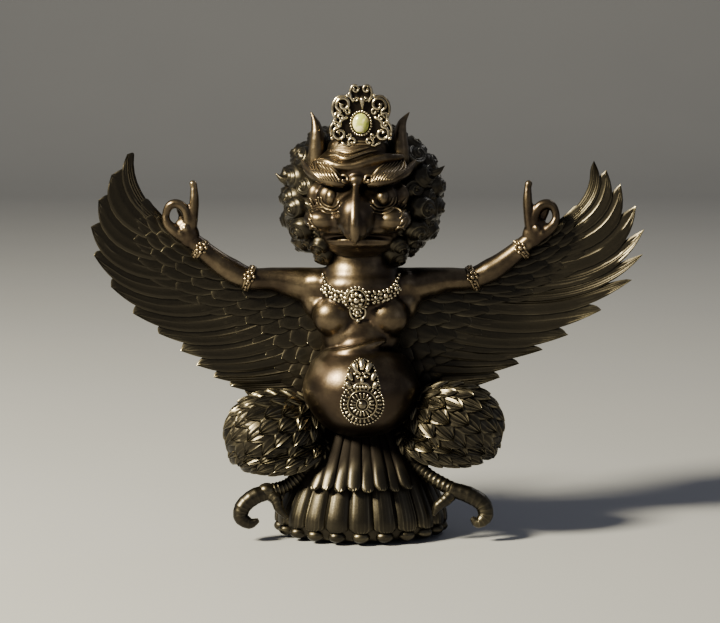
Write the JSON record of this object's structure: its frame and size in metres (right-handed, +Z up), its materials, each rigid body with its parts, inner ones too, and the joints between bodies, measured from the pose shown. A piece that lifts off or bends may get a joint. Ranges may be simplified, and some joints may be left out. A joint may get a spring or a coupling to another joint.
{
  "type": "garuda figure",
  "caption": "Standing bronze garuda with spread wings, raised hands, a lobed crown with a set stone, and a fluted tail fan that it stands on.",
  "frame": {"origin": "on the floor, in the middle of the flat underside of the tail", "axes": "+Z up, the figure faces -Y and its wings spread along X"},
  "size_m": [0.2447, 0.0714, 0.202],
  "materials": {
    "bronze": "dark antiqued bronze, rubbed golden on the high places",
    "pale_stone": "polished, opaque, mottled cream to yellow-green"
  },
  "bodies": {
    "root": {"garuda_figure": "bronze", "crown_stone": "pale_stone"}
  },
  "joints": []
}
